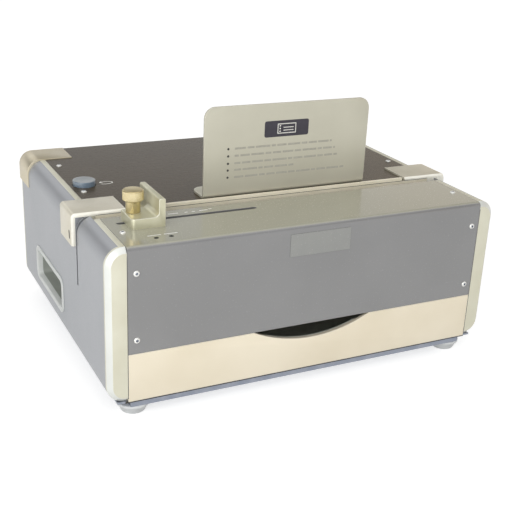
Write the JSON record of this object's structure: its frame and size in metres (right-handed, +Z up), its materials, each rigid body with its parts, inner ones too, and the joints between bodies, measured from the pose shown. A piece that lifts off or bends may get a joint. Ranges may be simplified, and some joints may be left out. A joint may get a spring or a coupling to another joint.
{
  "type": "electric hole punch",
  "caption": "Desk-top electric paper punch with a rear-fed throat slot, upright backrest plate, sliding edge guide, chip drawer and an eccentric-driven row of punch pins inside.",
  "frame": {"origin": "centre of the machine's footprint, on the surface that the feet stand on", "axes": "+X to the machine's right along its width, +Y from the drawer towards the rear panel, +Z up"},
  "size_m": [0.448, 0.3452, 0.2775],
  "materials": {
    "champagne_aluminium": "bead-blasted, champagne anodised",
    "drawer_aluminium": "brushed, pale champagne anodised",
    "grey_paint": "satin grey paint",
    "grey_cover": "smooth semi-gloss grey paint",
    "deck_paint": "gloss dark brown-grey paint",
    "grip_plastic": "moulded, fine texture",
    "button_plastic": "moulded, satin blue-grey",
    "black_plastic": "moulded",
    "lens": "clear, dark when off",
    "foot_rubber": "light grey, matt",
    "brass": "turned and lacquered",
    "bronze": "sintered",
    "bright_steel": "nickel plated",
    "zinc_steel": "zinc plated sheet",
    "tool_steel": "ground",
    "motor_paint": "satin dark grey",
    "board_laminate": "solder-masked laminate",
    "core_steel": "varnished laminations"
  },
  "bodies": {
    "case": {"base_pan": "zinc_steel", "feet": "foot_rubber", "foot_screws": "bright_steel", "left_side_frame": "champagne_aluminium", "right_side_frame": "champagne_aluminium", "left_side_cover": "grey_paint", "right_side_cover": "grey_paint", "left_hand_grip": "grip_plastic", "right_hand_grip": "grip_plastic", "front_cover": "grey_cover", "case_screws": "bright_steel", "indicator_lenses": "lens", "drawer_runners": "zinc_steel", "deck_plate": "deck_paint", "throat_back_plate": "champagne_aluminium", "front_left_bracket": "champagne_aluminium", "front_right_bracket": "champagne_aluminium", "rear_left_bracket": "champagne_aluminium", "rear_right_bracket": "champagne_aluminium", "bracket_screws": "bright_steel", "backrest_plate": "champagne_aluminium", "button_switch": "black_plastic", "rear_panel": "grey_paint", "power_inlet": "black_plastic", "rocker_housing": "black_plastic", "left_mechanism_plate": "zinc_steel", "right_mechanism_plate": "zinc_steel", "die_plate": "tool_steel", "paper_stop": "tool_steel", "stripper_plate": "tool_steel", "die_screws": "tool_steel", "guide_rods": "bright_steel", "shaft_bearings": "bronze", "gear_motor": "motor_paint", "motor_bracket": "zinc_steel", "home_sensor": "black_plastic", "control_board": "board_laminate", "board_standoffs": "bright_steel", "transformer": "core_steel"},
    "drawer": {"drawer_front": "drawer_aluminium", "drawer_tray": "zinc_steel", "drawer_screws": "bright_steel"},
    "guide": {"edge_guide": "champagne_aluminium", "clamp_nut": "bright_steel"},
    "thumb": {"thumb_screw": "brass"},
    "button": {"push_button": "button_plastic"},
    "rocker": {"power_rocker": "black_plastic"},
    "shaft": {"eccentric_shaft": "bright_steel", "eccentrics": "tool_steel", "main_gear": "tool_steel", "stop_disc": "black_plastic"},
    "pinion": {"drive_pinion": "bright_steel"},
    "ram": {"ram_bar": "tool_steel", "ram_bushes": "bronze", "pin_retainer": "tool_steel", "punch_pins": "bright_steel", "ram_yokes": "tool_steel"}
  },
  "joints": [
    {"name": "drawer_slide", "type": "slide", "parent": "case", "child": "drawer", "axis": [0, -1, 0], "range_m": [0, 0.1]},
    {"name": "guide_slide", "type": "slide", "parent": "case", "child": "guide", "axis": [1, 0, 0], "range_m": [-0.006, 0.125]},
    {"name": "thumb_turn", "type": "hinge", "parent": "guide", "child": "thumb", "pos_m": [-0.172, -0.1065, 0.2], "axis": [0, 0, 1], "range_deg": [0, 360]},
    {"name": "button_press", "type": "slide", "parent": "case", "child": "button", "axis": [0, 0, -1], "range_m": [0, 0.003], "stiffness_N_per_m": 800},
    {"name": "rocker_tilt", "type": "hinge", "parent": "case", "child": "rocker", "pos_m": [0.096, 0.163, 0.065], "axis": [1, 0, 0], "range_deg": [-12, 0]},
    {"name": "shaft_turn", "type": "hinge", "parent": "case", "child": "shaft", "pos_m": [0, -0.0042, 0.1135], "axis": [1, 0, 0], "range_deg": [0, 180]},
    {"name": "ram_slide", "type": "slide", "parent": "case", "child": "ram", "axis": [0, -1, 0], "range_m": [-0.0005, 0.00905]},
    {"name": "pinion_turn", "type": "hinge", "parent": "case", "child": "pinion", "pos_m": [0.166, 0.06105, 0.1135], "axis": [1, 0, 0], "range_deg": [-880, 16]}
  ],
  "couplings": [
    {"joint": "ram_slide", "follows": "shaft_turn", "m_per_rad": 0.0028648},
    {"joint": "pinion_turn", "follows": "shaft_turn", "ratio": -4.8}
  ]
}
